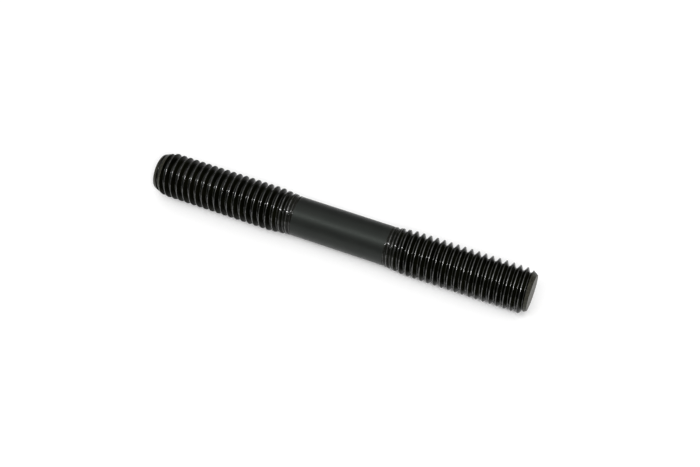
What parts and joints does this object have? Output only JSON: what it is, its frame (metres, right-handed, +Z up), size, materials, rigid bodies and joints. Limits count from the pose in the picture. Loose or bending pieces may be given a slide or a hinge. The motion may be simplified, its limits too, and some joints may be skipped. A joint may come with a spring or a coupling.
{
  "type": "double ended stud",
  "caption": "Double ended stud: a steel rod with a right-hand thread at each end and a plain shank between, to clamp parts with a nut or from a tapped hole.",
  "frame": {"origin": "under the middle of the stud's length, on the surface it lies on, where its thread crests touch at z = 0", "axes": "+X along the stud towards the end with the shorter thread, +Z up, +Y level across the stud"},
  "size_m": [0.1104, 0.0126, 0.0126],
  "materials": {
    "black_steel": "black oxide, oiled: near black and glossy on the threads, satin on the shank"
  },
  "bodies": {
    "root": {"stud": "black_steel"}
  },
  "joints": []
}
